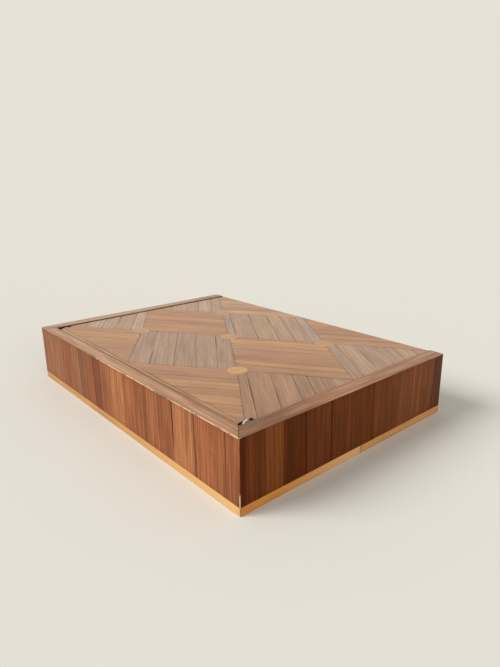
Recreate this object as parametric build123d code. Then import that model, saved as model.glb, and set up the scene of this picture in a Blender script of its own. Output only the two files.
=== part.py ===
from build123d import *
from math import atan2, degrees
import os

# A low box of boards covered with flattened straw. Millimetres. The origin is the middle of the
# underside, +Z is up, X runs along the box and the hinge is at +Y.

# Outside of the closed box
length = 170.0
width = 120.0
height = 28.5

# Boards, and the split straw that covers them
base_thickness = 3.2
wall_board = 5.2
end_board = 6.4
lid_board = 4.4
straw = 0.3
straw_width = 8.0
seam = 0.06

# Lid between the rims
rim_drop = 0.5
end_gap = 0.4
hinge_gap = 0.3

# Marquetry: the lid is divided into columns and rows, with a disc where lozenges meet and a plain
# border along the hinge edge. It was set out from the left front corner: the last column is cut short
# by the lid's end, and the row at the hinge is a little taller than the others.
columns = 4
rows = 4
column_cut = 5.6
hinge_row_extra = 2.45
disc_diameter = 9.0
hinge_border = 2.7

# Golden band round the base: where its straw is joined, from the hinge corner
band_joint = 62.0

# Pivot hinges at the two ends of the hinge edge
leaf_thickness = 2.0
leaf_tail = 16.0
pivot_setback = 4.7
notch_length = 7.4
tail_cover = 0.7
pin_diameter = 1.6
pin_play = 0.05
pin_end_play = 0.1
washer_diameter = 3.6
washer_play = 0.05
fixed_clearance = 0.02

# Countersunk wood screws of the hinges
screw_diameter = 1.2
screw_head = 2.2
screw_cover = 2.5
screw_count = 2
screw_offset = 6.0
screw_pitch = 5.5
slot_width = 0.3
slot_depth = 0.25

# Levels and faces that follow from these
half_length = length / 2
half_width = width / 2
inner_x = half_length - end_board - 2 * straw
inner_y = half_width - wall_board - 2 * straw
wall_top = height - straw
lid_thickness = lid_board + 2 * straw
lid_top = height - rim_drop
lid_bottom = lid_top - lid_thickness
lid_half = inner_x - end_gap
edge_radius = lid_thickness / 2
lid_rear = inner_y - hinge_gap
edge_y = lid_rear - edge_radius
axis_y = lid_rear - pivot_setback
axis_z = lid_top - edge_radius
field_rear = lid_rear - hinge_border
notch_front = lid_rear - notch_length
column_pitch = (2 * lid_half + column_cut) / columns
row_pitch = (field_rear + half_width - hinge_row_extra) / rows
lid_eye = lid_thickness / 2
wall_eye = lid_board / 2
tail_height = lid_board - 2 * tail_cover
screw_length = straw + end_board - screw_cover


def block(low, high):
    """A box between two opposite corners."""
    size = Vector(*high) - Vector(*low)
    return Pos(*low) * Box(size.X, size.Y, size.Z, align=Align.MIN)


def prism(points, bottom, top):
    """An outline in the XY plane, raised between two levels."""
    return Pos(0, 0, bottom) * extrude(Polygon(*points), amount=top - bottom)


def laid(low, high, across):
    """Straws laid side by side along the axis numbered across, filling a thin box."""
    span = high[across] - low[across]
    count = max(1, round(span / straw_width))
    pitch = span / count
    straws = []
    for index in range(count):
        start = list(low)
        end = list(high)
        if index > 0:
            start[across] = low[across] + index * pitch + seam / 2
        if index < count - 1:
            end[across] = low[across] + (index + 1) * pitch - seam / 2
        straws.append(block(start, end))
    return straws


def mirrored(solids):
    """The same pieces at the right end."""
    return [mirror(solid, about=Plane.YZ) for solid in solids]


# Base and the straw band on its edge

def base_board():
    edge_x = half_length - straw
    edge_y = half_width - straw
    return block((-edge_x, -edge_y, 0), (edge_x, edge_y, base_thickness))


def band_rear():
    return [block((-half_length, half_width - straw, 0), (half_length, half_width, base_thickness))]


def band_front():
    return [block((-half_length, -half_width, 0), (half_length, straw - half_width, base_thickness))]


def band_left():
    inner_face = straw - half_length
    joint_y = half_width - band_joint
    front = block((-half_length, straw - half_width, 0), (inner_face, joint_y - seam, base_thickness))
    rear = block((-half_length, joint_y, 0), (inner_face, half_width - straw, base_thickness))
    return [front, rear]


def band_right():
    edge_y = half_width - straw
    return [block((half_length - straw, -edge_y, 0), (half_length, edge_y, base_thickness))]


# Pivot hinges, drawn at the left end

def leaf_outline(eye_radius, clearance):
    """A round eye on the hinge axis with a tail towards the front, seen along X."""
    eye = Pos(axis_y, axis_z) * Circle(eye_radius + clearance)
    tail_length = leaf_tail + clearance
    tail = Pos(axis_y - tail_length / 2, axis_z) * Rectangle(tail_length, tail_height + 2 * clearance)
    return Plane.YZ * (eye + tail)


def leaf_blank(start_x, thickness, eye_radius, clearance):
    return Pos(start_x, 0, 0) * extrude(leaf_outline(eye_radius, clearance), amount=thickness)


def along_x(start_x, radius, span):
    """A round bar along X on the hinge axis."""
    disc = Plane.YZ * Pos(axis_y, axis_z) * Circle(radius)
    return Pos(start_x, 0, 0) * extrude(disc, amount=span)


def screw_shape(clearance):
    """A countersunk screw with its face at the origin, pointing along +X."""
    seat = (Align.CENTER, Align.CENTER, Align.MIN)
    head_height = (screw_head - screw_diameter) / 2
    head = Cone(screw_head / 2 + clearance, screw_diameter / 2 + clearance, head_height, align=seat)
    shank = Cylinder(screw_diameter / 2 + clearance, screw_length + clearance, align=seat)
    return Plane.YZ * (head + shank)


def screw():
    slot = Box(2 * slot_depth, screw_head, slot_width)
    return screw_shape(0) - slot


def screw_places():
    return [(axis_y - screw_offset - index * screw_pitch, axis_z) for index in range(screw_count)]


def lid_screws(shape):
    return [Pos(-lid_half, y, z) * shape for y, z in screw_places()]


def wall_screws(shape):
    turned = mirror(shape, about=Plane.YZ)
    return [Pos(-inner_x, y, z) * turned for y, z in screw_places()]


def lid_leaf():
    bore = along_x(-lid_half, pin_diameter / 2 + pin_play, leaf_thickness)
    return leaf_blank(-lid_half, leaf_thickness, lid_eye, 0) - bore - lid_screws(screw_shape(fixed_clearance))


def wall_leaf():
    start_x = -inner_x - leaf_thickness
    bore = along_x(start_x, pin_diameter / 2 + fixed_clearance, leaf_thickness)
    return leaf_blank(start_x, leaf_thickness, wall_eye, 0) - bore - wall_screws(screw_shape(fixed_clearance))


def pivot_pin():
    span = 2 * leaf_thickness + end_gap - pin_end_play
    return along_x(-inner_x - leaf_thickness, pin_diameter / 2, span)


def pivot_washer():
    start_x = -inner_x + washer_play
    thickness = end_gap - 2 * washer_play
    bore = along_x(start_x, pin_diameter / 2 + pin_play, thickness)
    return along_x(start_x, washer_diameter / 2, thickness) - bore


# Walls, mitred at the two hinge corners, with the front wall let in between the ends

def rear_wall():
    outer_x = half_length - straw
    outer_y = half_width - straw
    board_x = outer_x - end_board
    board_y = outer_y - wall_board
    outline = ((-board_x, board_y), (board_x, board_y), (outer_x, outer_y), (-outer_x, outer_y))
    return prism(outline, base_thickness, wall_top)


def left_wall():
    outer_x = half_length - straw
    outer_y = half_width - straw
    board_x = outer_x - end_board
    board_y = outer_y - wall_board
    outline = ((-outer_x, -outer_y), (-board_x, -outer_y), (-board_x, board_y), (-outer_x, outer_y))
    board = prism(outline, base_thickness, wall_top)
    recess = leaf_blank(-inner_x - leaf_thickness, leaf_thickness, wall_eye, fixed_clearance)
    return board - recess - wall_screws(screw_shape(fixed_clearance))


def front_wall():
    board_x = inner_x + straw
    board_y = half_width - straw - wall_board
    return block((-board_x, straw - half_width, base_thickness), (board_x, -board_y, lid_bottom - straw))


# Straw on the outside of the walls and over their top edges

def rear_wall_straw():
    return laid((-half_length, half_width - straw, base_thickness), (half_length, half_width, wall_top), 0)


def left_wall_straw():
    low = (-half_length, straw - half_width, base_thickness)
    high = (straw - half_length, half_width - straw, wall_top)
    return laid(low, high, 1)


def front_wall_straw():
    face = straw - half_width
    low_part = laid((-inner_x, -half_width, base_thickness), (inner_x, face, lid_bottom - straw), 0)
    left_post = laid((-half_length, -half_width, base_thickness), (-inner_x - seam, face, wall_top), 0)
    return low_part + left_post + mirrored(left_post)


def rear_rim_straw():
    inner_edge = ((-inner_x, inner_y), (inner_x, inner_y))
    outer_edge = ((half_length, half_width), (-half_length, half_width))
    return [prism(inner_edge + outer_edge, wall_top, height)]


def left_rim_straw():
    front = ((-half_length, -half_width), (-inner_x, -half_width))
    mitre = ((-inner_x, inner_y), (-half_length, half_width))
    return [prism(front + mitre, wall_top, height)]


def front_ledge_straw():
    return [block((-inner_x, -half_width, lid_bottom - straw), (inner_x, -inner_y, lid_bottom))]


# Straw lining inside

def floor_lining():
    return laid((-inner_x, -inner_y, base_thickness), (inner_x, inner_y, base_thickness + straw), 1)


def rear_lining():
    low_x = -inner_x - straw
    below = laid((low_x, inner_y, base_thickness), (-low_x, inner_y + straw, lid_bottom), 2)
    above = laid((low_x, inner_y, lid_bottom + seam), (-low_x, inner_y + straw, wall_top), 2)
    return below + above


def front_lining():
    low_x = -inner_x - straw
    return laid((low_x, -inner_y - straw, base_thickness), (-low_x, -inner_y, lid_bottom - straw), 2)


def left_lining():
    face = -inner_x - straw
    below = laid((face, -inner_y, base_thickness), (-inner_x, inner_y, lid_bottom), 2)
    recess = leaf_blank(face, straw, wall_eye, fixed_clearance)
    above = block((face, straw - half_width, lid_bottom + seam), (-inner_x, inner_y, wall_top)) - recess
    return below + [above]


# Lid board with its round hinge edge

def lid_section(thickness, front_y):
    """The lid across its length: flat, with a half round at the rear that turns clear of the wall."""
    flat = Pos((front_y + edge_y) / 2, axis_z) * Rectangle(edge_y - front_y, thickness)
    return Plane.YZ * (flat + Pos(edge_y, axis_z) * Circle(thickness / 2))


def notches():
    """Room for the eyes at the two hinge corners of the lid."""
    left = block((-lid_half, notch_front, lid_bottom), (leaf_thickness - lid_half, inner_y, lid_top))
    return [left] + mirrored([left])


def lid_panel():
    board_half = lid_half - straw
    board = extrude(lid_section(lid_board, straw - half_width), amount=board_half, both=True)
    recess = leaf_blank(-lid_half, leaf_thickness, lid_eye, fixed_clearance)
    cuts = [recess] + lid_screws(screw_shape(fixed_clearance))
    return board - notches() - cuts - mirrored(cuts)


# Straw on the lid

def lid_hinge_border():
    span = lid_half - leaf_thickness
    around = lid_section(lid_thickness, field_rear) - lid_section(lid_board, field_rear)
    sleeve = extrude(around, amount=span, both=True)
    upper = block((-span, field_rear, axis_z + seam / 2), (span, inner_y, lid_top))
    lower = block((-span, field_rear, lid_bottom), (span, inner_y, axis_z - seam / 2))
    return [sleeve & upper, sleeve & lower]


def row_line(row):
    """Where the middle of a row lies."""
    taller_rows = max(0, row - rows + 1)
    return row * row_pitch + taller_rows * hinge_row_extra - half_width


def lattice_point(column, row):
    return (column * column_pitch - lid_half, row_line(row))


def disc_places():
    inside = [(column, row) for row in range(1, rows) for column in range(1, columns)]
    return [place for place in inside if sum(place) % 2 == 0]


def field_places():
    every = [(column, row) for row in range(rows + 1) for column in range(columns + 1)]
    return [place for place in every if sum(place) % 2 == 1]


def field_outline(column, row):
    """A lozenge of the lattice, less half a seam all round, kept to the lid and cut out for the discs."""
    lower = (lattice_point(column - 1, row), lattice_point(column, row - 1))
    upper = (lattice_point(column + 1, row), lattice_point(column, row + 1))
    lozenge = offset(Polygon(*lower, *upper), -seam / 2, kind=Kind.INTERSECTION)
    top = Pos(0, (field_rear - half_width) / 2) * Rectangle(2 * lid_half, field_rear + half_width)
    holes = [Pos(*lattice_point(*place)) * Circle(disc_diameter / 2 + seam) for place in disc_places()]
    return (lozenge & top) - holes


def lid_field(column, row):
    """One lozenge, its straws parallel to two of its sides, turned the other way in every second row."""
    rise = (row_line(row + 1) - row_line(row - 1)) / 2
    slope = degrees(atan2(rise, column_pitch))
    angle = -slope if row % 2 else slope
    upright = field_outline(column, row).rotate(Axis.Z, -angle)
    sheet = Pos(0, 0, lid_top - straw) * extrude(upright, amount=straw)
    box = sheet.bounding_box()
    strips = laid(tuple(box.min), tuple(box.max), 1)
    return [(sheet & strip).rotate(Axis.Z, angle) - notches() for strip in strips]


def lid_discs():
    """Each disc is two straws side by side."""
    beside = Pos((disc_diameter + seam) / 2, 0) * Rectangle(disc_diameter, disc_diameter)
    right = Pos(0, 0, lid_top - straw) * extrude(Circle(disc_diameter / 2) & beside, amount=straw)
    halves = mirrored([right]) + [right]
    return [Pos(*lattice_point(*place)) * half for place in disc_places() for half in halves]


def lid_front_edge_straw():
    low = (-lid_half, -half_width, lid_bottom + straw)
    high = (lid_half, straw - half_width, lid_top - straw)
    return [block(low, high)]


def lid_left_edge_straw():
    low = (-lid_half, straw - half_width, lid_bottom + straw)
    high = (straw - lid_half, notch_front, lid_top - straw)
    return [block(low, high) - leaf_blank(-lid_half, straw, lid_eye, fixed_clearance)]


def lid_lining():
    straws = laid((-lid_half, -half_width, lid_bottom), (lid_half, field_rear, lid_bottom + straw), 1)
    return [strip - notches() for strip in straws]


nodes = {
    "base_board": [base_board()],
    "base_band_rear": band_rear(),
    "base_band_front": band_front(),
    "base_band_left": band_left(),
    "base_band_right": band_right(),
    "rear_wall": [rear_wall()],
    "front_wall": [front_wall()],
    "left_wall": [left_wall()],
    "right_wall": mirrored([left_wall()]),
    "rear_wall_straw": rear_wall_straw(),
    "front_wall_straw": front_wall_straw(),
    "left_wall_straw": left_wall_straw(),
    "right_wall_straw": mirrored(left_wall_straw()),
    "rear_rim_straw": rear_rim_straw(),
    "left_rim_straw": left_rim_straw(),
    "right_rim_straw": mirrored(left_rim_straw()),
    "front_ledge_straw": front_ledge_straw(),
    "floor_lining": floor_lining(),
    "rear_lining": rear_lining(),
    "front_lining": front_lining(),
    "left_lining": left_lining(),
    "right_lining": mirrored(left_lining()),
    "left_wall_leaf": [wall_leaf()],
    "right_wall_leaf": mirrored([wall_leaf()]),
    "left_pivot_pin": [pivot_pin()],
    "right_pivot_pin": mirrored([pivot_pin()]),
    "pivot_washers": [pivot_washer()] + mirrored([pivot_washer()]),
    "wall_leaf_screws": wall_screws(screw()) + mirrored(wall_screws(screw())),
    "lid_board": [lid_panel()],
    "lid_hinge_border": lid_hinge_border(),
    "lid_discs": lid_discs(),
    "lid_front_edge_straw": lid_front_edge_straw(),
    "lid_left_edge_straw": lid_left_edge_straw(),
    "lid_right_edge_straw": mirrored(lid_left_edge_straw()),
    "lid_lining": lid_lining(),
    "left_lid_leaf": [lid_leaf()],
    "right_lid_leaf": mirrored([lid_leaf()]),
    "lid_leaf_screws": lid_screws(screw()) + mirrored(lid_screws(screw())),
}
for column, row in field_places():
    nodes[f"lid_field_column{column}_row{row}"] = lid_field(column, row)

os.makedirs("parts", exist_ok=True)
for node, pieces in nodes.items():
    solids = [solid for piece in pieces for solid in piece.solids()]
    export_step(Compound(solids), f"parts/{node}.step")
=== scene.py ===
import math
import random

import bpy
import numpy as np
from mathutils import Matrix, Vector, geometry, noise


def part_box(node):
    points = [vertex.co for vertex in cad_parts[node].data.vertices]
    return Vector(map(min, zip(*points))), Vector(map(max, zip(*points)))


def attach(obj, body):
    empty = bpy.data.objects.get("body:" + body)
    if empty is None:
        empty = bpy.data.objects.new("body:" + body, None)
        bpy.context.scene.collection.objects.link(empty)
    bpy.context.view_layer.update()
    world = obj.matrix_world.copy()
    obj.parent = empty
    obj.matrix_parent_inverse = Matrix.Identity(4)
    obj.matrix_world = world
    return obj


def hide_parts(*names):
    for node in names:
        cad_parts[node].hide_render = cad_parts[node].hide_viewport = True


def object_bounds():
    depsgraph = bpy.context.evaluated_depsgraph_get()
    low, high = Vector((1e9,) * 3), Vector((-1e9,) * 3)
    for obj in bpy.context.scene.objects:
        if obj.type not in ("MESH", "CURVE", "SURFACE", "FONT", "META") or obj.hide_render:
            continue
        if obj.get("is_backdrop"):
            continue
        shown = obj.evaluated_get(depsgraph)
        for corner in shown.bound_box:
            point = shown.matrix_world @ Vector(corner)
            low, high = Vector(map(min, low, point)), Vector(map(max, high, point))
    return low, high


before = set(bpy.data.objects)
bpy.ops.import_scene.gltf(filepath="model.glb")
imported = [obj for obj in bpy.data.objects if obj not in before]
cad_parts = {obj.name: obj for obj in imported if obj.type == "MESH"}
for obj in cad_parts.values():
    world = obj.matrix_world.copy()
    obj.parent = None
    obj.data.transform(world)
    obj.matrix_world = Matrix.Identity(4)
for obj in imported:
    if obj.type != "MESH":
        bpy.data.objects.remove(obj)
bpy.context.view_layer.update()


# Boards
# The base, four walls and lid are sawn from pale limewood, 3 to 6 mm thick. The walls are glued to each
# other and onto the base. Hide glue has browned the wood wherever straw covers it.

def screen(red, green, blue):
    """A colour as read on a screen, from 0 to 255, turned into light."""
    shares = [part / 255 for part in (red, green, blue)]
    light = [share / 12.92 if share <= 0.04045 else ((share + 0.055) / 1.055) ** 2.4 for share in shares]
    return (*light, 1.0)


class Value:
    """A socket in a finish. Arithmetic on it adds Math nodes."""

    def __init__(self, tree, socket=None):
        self.tree = tree
        self.socket = socket

    def node(self, kind, settings, sockets, output=0):
        """Adds a node: its settings first, then the values or links of its sockets."""
        made = self.tree.nodes.new("ShaderNode" + kind)
        for setting, chosen in settings.items():
            setattr(made, setting, chosen)
        for name, given in sockets.items():
            if isinstance(given, Value):
                self.tree.links.new(given.socket, made.inputs[name])
            else:
                made.inputs[name].default_value = given
        return Value(self.tree, made.outputs[output] if made.outputs else None)

    def maths(self, operation, first, second):
        return self.node("Math", {"operation": operation}, {0: first, 1: second})

    def __add__(self, other):
        return self.maths("ADD", self, other)

    def __sub__(self, other):
        return self.maths("SUBTRACT", self, other)

    def __rsub__(self, other):
        return self.maths("SUBTRACT", other, self)

    def __mul__(self, other):
        return self.maths("MULTIPLY", self, other)

    def __abs__(self):
        return self.maths("ABSOLUTE", self, 0.0)

    __radd__ = __add__
    __rmul__ = __mul__


def new_finish(name):
    material = bpy.data.materials.new(name)
    material.use_nodes = True
    material.node_tree.nodes.clear()
    return material, Value(material.node_tree)


def blend(amount, first, second):
    """One colour passing into another."""
    return amount.node("Mix", {"data_type": "RGBA"}, {0: amount, 6: first, 7: second}, 2)


def rise(value, low, high):
    """0 below the low value, 1 above the high one, smooth between."""
    limits = {"Value": value, "From Min": low, "From Max": high}
    return value.node("MapRange", {"interpolation_type": "SMOOTHSTEP"}, limits)


def drawn_noise(vector, stretch, detail):
    """Noise drawn out along the directions with a small stretch."""
    scaled = vector.node("VectorMath", {"operation": "MULTIPLY"}, {0: vector, 1: stretch})
    return vector.node("TexNoise", {}, {"Vector": scaled, "Scale": 1.0, "Detail": detail, "Roughness": 0.6})


def surface(start, colour, roughness, height, depth, steady):
    """Closes a finish: what varies, a bump of some depth in metres, and the steady values."""
    normal = start.node("Bump", {}, {"Height": height, "Strength": 1.0, "Distance": depth})
    varied = {"Base Color": colour, "Roughness": roughness, "Normal": normal}
    shader = start.node("BsdfPrincipled", {}, {**varied, **steady})
    start.node("OutputMaterial", {}, {"Surface": shader})


def board_finish(name, stretch, pale, dark):
    """Limewood with its rings and pores drawn out along the board."""
    rings_per_metre = 300
    pores_per_metre = 2500
    grain_depth = 0.00008
    material, start = new_finish(name)
    place = start.node("TexCoord", {}, {}, "Object")
    rings = drawn_noise(place, [rings_per_metre * part for part in stretch], 3.0)
    pores = drawn_noise(place, [pores_per_metre * part for part in stretch], 1.0)
    wood = blend(rise(rings, 0.35, 0.7), pale, dark)
    wood = blend(rise(pores, 0.6, 0.8) * 0.5, wood, pore_brown)
    grain = rings * 0.6 + pores * 0.4
    surface(start, wood, 0.7 - rings * 0.15, grain, grain_depth, {"Specular IOR Level": 0.3})
    return material


def dress(piece, material):
    if not piece.material_slots:
        piece.data.materials.append(material)
    for place in piece.material_slots:
        place.material = material


lime = screen(222, 192, 146)
brown_lime = screen(190, 150, 100)
pore_brown = screen(96, 62, 38)
glue = screen(92, 58, 36)
dark_glue = screen(66, 40, 25)
along_x = (0.06, 1.0, 1.0)
along_y = (1.0, 0.06, 1.0)
dress(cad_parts["base_board"], board_finish("bare_limewood", along_x, lime, brown_lime))
long_board = board_finish("glued_limewood_long", along_x, glue, dark_glue)
end_board = board_finish("glued_limewood_end", along_y, glue, dark_glue)
for node in ("rear_wall", "front_wall", "lid_board"):
    dress(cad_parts[node], long_board)
for node in ("left_wall", "right_wall"):
    dress(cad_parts[node], end_board)


# Golden band
# A ribbon of undyed straw glued round the edge of the base board, 3 mm high with its fibres lengthwise.
# It is butted at the corners and has one joint on the left side. Its shaded left side has paler, more
# orange golds, and it is painted paler towards the hinge wall's left corner and by the joint: painted
# light, partly bleaching. The dark line in the joint is dirt and a painted shadow of the step there.

def box_mm(node):
    """Lowest and highest corner of a node, in millimetres."""
    low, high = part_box(node)
    return low * 1000, high * 1000


half_length, half_width, box_height = (part * 1000 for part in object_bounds()[1])
corner_round = 0.6
rim_round = 0.35


def rubbed(x, y, z):
    """Where a point of the sharp-edged box lies once its upright corners and top edges are rubbed round."""
    core_x = half_length - corner_round
    core_y = half_width - corner_round
    past_x = abs(x) - core_x
    past_y = abs(y) - core_y
    at_corner = past_x > 0 and past_y > 0
    if at_corner:
        pull = max(past_x, past_y) / math.hypot(past_x, past_y)
        x = math.copysign(core_x + past_x * pull, x)
        y = math.copysign(core_y + past_y * pull, y)
        from_face = corner_round - max(past_x, past_y)
        inward = Vector((-math.copysign(past_x, x), -math.copysign(past_y, y), 0)).normalized()
    elif half_length - abs(x) < half_width - abs(y):
        from_face = half_length - abs(x)
        inward = Vector((-math.copysign(1, x), 0, 0))
    else:
        from_face = half_width - abs(y)
        inward = Vector((0, -math.copysign(1, y), 0))
    point = Vector((x, y, z))
    near_side = rim_round - from_face
    near_top = rim_round - (box_height - z)
    if near_side > 0 and near_top > 0:
        pull = 1 - max(near_side, near_top) / math.hypot(near_side, near_top)
        point += inward * near_side * pull
        point.z -= near_top * pull
    return point


def on_side(side):
    """How a sheet laid flat stands on one side of the box: run along it, level above the table, way out."""
    return {
        "rear": lambda run, level, out: rubbed(run, half_width + out, level),
        "front": lambda run, level, out: rubbed(run, -half_width - out, level),
        "left": lambda run, level, out: rubbed(-half_length - out, run, level),
        "right": lambda run, level, out: rubbed(half_length + out, run, level),
    }[side]


class Seam:
    """The line between two straws: where it lies, how far it stands open and how dark it has become."""

    def __init__(self, place, slant=0.0, gap=0.03, grime=0.25, roll=0.035,
                 opening=0.0, middle=0.0, reach=1.0):
        self.place = place
        self.slant = slant
        self.gap = gap
        self.grime = grime
        self.roll = roll
        self.opening = opening
        self.middle = middle
        self.reach = reach

    def spread(self, along):
        """How far open a part-open seam is here, from 0 to 1."""
        return max(0.0, 1 - ((along - self.middle) / self.reach) ** 2)

    def edge(self, along, side):
        """Edge of the straw before the seam, with side -1, or after it, with side 1."""
        return self.place + self.slant * along + side * (self.gap + self.opening * self.spread(along)) / 2

    def dirt(self, along):
        return self.grime * (0.3 + 0.7 * self.spread(along)) if self.opening else self.grime


def keep_side(outline, normal, limit):
    """The part of an outline on one side of a line."""
    kept = []
    for start, end in zip(outline, outline[1:] + outline[:1]):
        here = limit - normal.dot(start)
        there = limit - normal.dot(end)
        if here >= 0:
            kept.append(start)
        if here * there < 0:
            kept.append(start + (end - start) * (here / (here - there)))
    return kept


def side_lines(outline):
    """The sides of a convex outline: each as its inward direction and its offset."""
    centre = sum(outline, Vector((0, 0))) / len(outline)
    lines = []
    for start, end in zip(outline, outline[1:] + outline[:1]):
        along = (end - start).normalized()
        inward = Vector((-along.y, along.x))
        if inward.dot(centre - start) < 0:
            inward = -inward
        lines.append((inward, inward.dot(start)))
    return lines


def inset(outline, depth):
    """A convex outline drawn in on all sides."""
    drawn = outline
    for inward, offset in side_lines(outline):
        drawn = keep_side(drawn, -inward, -offset - depth)
    return drawn


def finer(outline, step):
    """The same outline with points along its sides."""
    points = []
    for start, end in zip(outline, outline[1:] + outline[:1]):
        count = max(1, math.ceil((end - start).length / step))
        points.extend(start + (end - start) * (k / count) for k in range(count))
    return points


def cut_straw(before, after, low, high, outline, guides, holes):
    """One straw laid flat between two seams and two levels, as points and triangles."""
    edge_step = 0.16
    column_width = 0.36
    row_length = 3.0
    clear_of_seam = 0.05
    middle = (low + high) / 2
    width = after.edge(middle, -1) - before.edge(middle, 1)
    count = max(3, round(width / column_width))
    shares = [0, edge_step / width] + [k / count for k in range(1, count)] + [1 - edge_step / width, 1]
    rows = max(9, round((high - low) / row_length))
    levels = [low + (high - low) * k / rows for k in range(1, rows)]
    levels = [low, low + edge_step, *levels, high - edge_step, high]
    points = []
    for level in levels:
        start = before.edge(level, 1)
        span = after.edge(level, -1) - start
        points.extend(Vector((start + share * span, level)) for share in shares)
    across = len(shares)
    last = across * (len(levels) - 1)
    ring = list(range(across)) + [across * k + across - 1 for k in range(1, len(levels))]
    ring += range(last + across - 2, last - 1, -1)
    ring += [across * k for k in range(len(levels) - 2, 0, -1)]
    loops = [ring]
    for cut in ([outline] if outline else []) + list(holes):
        order = list(range(len(points), len(points) + len(cut)))
        points.extend(Vector(point) for point in cut)
        turning = sum(points[a].cross(points[b]) for a, b in zip(order, order[1:] + order[:1]))
        loops.append(order if turning > 0 else order[::-1])
    points += [spot for spot in guides
               if before.edge(spot.y, 1) + clear_of_seam < spot.x < after.edge(spot.y, -1) - clear_of_seam]
    spots, _, faces, _, _, parents = geometry.delaunay_2d_cdt(points, [], loops, 0, 1e-6, True)
    wanted = {0, 1} if outline else {0}
    return spots, [face for face, inside in zip(faces, parents) if set(inside) == wanted]


def straw_relief(spots, straw, lines, number, sunk, ribs, edge_dirt):
    """Points of one straw with their height, from rolled edges, ribs and slow swells, and their dirt."""
    before, after, low, high, _ = straw
    roll_reach = 0.3
    seam_dirt_reach = 0.1
    edge_dirt_reach = 0.12
    end_roll = 0.03
    swelling = 0.03
    rib_across, rib_along = 1.3, 0.02
    swell_across, swell_along = 0.2, 0.03
    laid = []
    for across, along in spots:
        near_before = max(0.0, across - before.edge(along, 1))
        near_after = max(0.0, after.edge(along, -1) - across)
        near_end = min(along - low, high - along)
        if lines:
            near_end = min(inward.dot((across, along)) - offset for inward, offset in lines)
        near_end = max(0.0, near_end)
        drop = before.roll * math.exp(-near_before / roll_reach)
        drop += after.roll * math.exp(-near_after / roll_reach)
        drop += end_roll * math.exp(-near_end / roll_reach)
        rib = noise.noise((across * rib_across, along * rib_along, number))
        swell = noise.noise((across * swell_across, along * swell_along, number + 40))
        height = -sunk - drop - ribs * (1 - rib) / 2 - swelling * (1 - swell) / 2
        dark = before.dirt(along) * math.exp(-near_before / seam_dirt_reach)
        dark += after.dirt(along) * math.exp(-near_after / seam_dirt_reach)
        dark += edge_dirt * math.exp(-near_end / edge_dirt_reach)
        laid.append((across, along, height, min(1.0, dark)))
    return laid


def turned_over(place, across, along):
    """Whether a sheet comes to lie face down when it is put in its place."""
    step = 0.01
    origin = place(across, along, 0)
    right = place(across + step, along, 0) - origin
    up = place(across, along + step, 0) - origin
    return right.cross(up).dot(place(across, along, step) - origin) < 0


def straw_solid(top, bottom, triangles, turned):
    """Faces of a thin solid: its top, the same below, and the sides between. The top's come first."""
    upper = [face[::-1] if turned else face for face in triangles]
    lower = [[bottom + corner for corner in reversed(face)] for face in upper]
    edges = {pair for face in upper for pair in zip(face, face[1:] + face[:1])}
    rims = [(start, end) for start, end in sorted(edges) if (end, start) not in edges]
    sides = [[end, start, bottom + start, bottom + end] for start, end in rims]
    return [[top + corner for corner in face] for face in upper + lower + sides], len(upper)


def sheet_mesh(name, points, faces, smooth, marks):
    """A mesh that is smooth on top and sharp round its rims. Marks tell the finish about each point."""
    mesh = bpy.data.meshes.new(name)
    mesh.from_pydata([point * 0.001 for point in points], [], faces)
    mesh.polygons.foreach_set("use_smooth", smooth)
    edge_of_corner = np.zeros(len(mesh.loops), np.int32)
    mesh.loops.foreach_get("edge_index", edge_of_corner)
    on_flat_face = np.repeat(np.logical_not(smooth), [len(face) for face in faces])
    sharp = np.zeros(len(mesh.edges), bool)
    sharp[edge_of_corner[on_flat_face]] = True
    mesh.edges.foreach_set("use_edge_sharp", sharp)
    for label, kind, field, values in marks:
        attribute = mesh.attributes.new(label, kind, "POINT")
        attribute.data.foreach_set(field, np.array(values, np.float32).ravel())
    mesh.update()
    return mesh


def lay_sheet(name, straws, place, finish, body, slot, replaced,
              outline=None, holes=(), ribs=0.02, edge_dirt=0.4, seed=1):
    """Glues straws down as one piece. A straw is (seam before, seam after, low end, high end, dye)."""
    draw = random.Random(seed)
    thickness = 0.3
    outline_step = 0.5
    guide_depths_and_steps = ((0.15, 0.5), (0.4, 0.8))
    points, faces, smooth = [], [], []
    lay, dyes, grime = [], [], []
    lines, fine_outline, guides = [], None, []
    if outline:
        lines = side_lines(outline)
        fine_outline = finer(outline, outline_step)
        for depth, step in guide_depths_and_steps:
            guides += finer(inset(outline, depth), step)
    for straw in straws:
        number = draw.uniform(0, 100)
        shade = draw.uniform(0.95, 1.05)
        sunk = draw.uniform(0.0, 0.03)
        before, after, low, high, dye = straw
        spots, triangles = cut_straw(before, after, low, high, fine_outline, guides, holes)
        used = sorted({corner for face in triangles for corner in face})
        if not used:
            continue
        laid = straw_relief([spots[corner] for corner in used], straw, lines, number, sunk, ribs, edge_dirt)
        index = {corner: k for k, corner in enumerate(used)}
        renumbered = [[index[corner] for corner in face] for face in triangles]
        turned = turned_over(place, *laid[0][:2])
        made, count = straw_solid(len(points), len(used), renumbered, turned)
        faces += made
        smooth += [True] * count + [False] * (len(made) - count)
        points += [place(across, along, height) for across, along, height, _ in laid]
        points += [place(across, along, -thickness) for across, along, _, _ in laid]
        lay += [(across, along, number) for across, along, _, _ in laid] * 2
        grime += [dark for _, _, _, dark in laid] * 2
        dyes += [(dye[0] * shade, dye[1] * shade, dye[2] * shade, 1.0)] * (2 * len(laid))
    marks = [("lay", "FLOAT_VECTOR", "vector", lay), ("dye", "FLOAT_COLOR", "color", dyes),
             ("grime", "FLOAT", "value", grime)]
    piece = bpy.data.objects.new(name, sheet_mesh(name, points, faces, smooth, marks))
    bpy.context.scene.collection.objects.link(piece)
    dress(piece, finish)
    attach(piece, body)
    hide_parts(*replaced)


stain_brown = screen(70, 36, 18)
seam_dirt = screen(40, 21, 12)


def mark(start, name, output):
    """A mark that the pieces carry: lay (across, along and number of the straw), dye or grime."""
    return start.node("Attribute", {"attribute_name": name}, {}, output)


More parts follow.
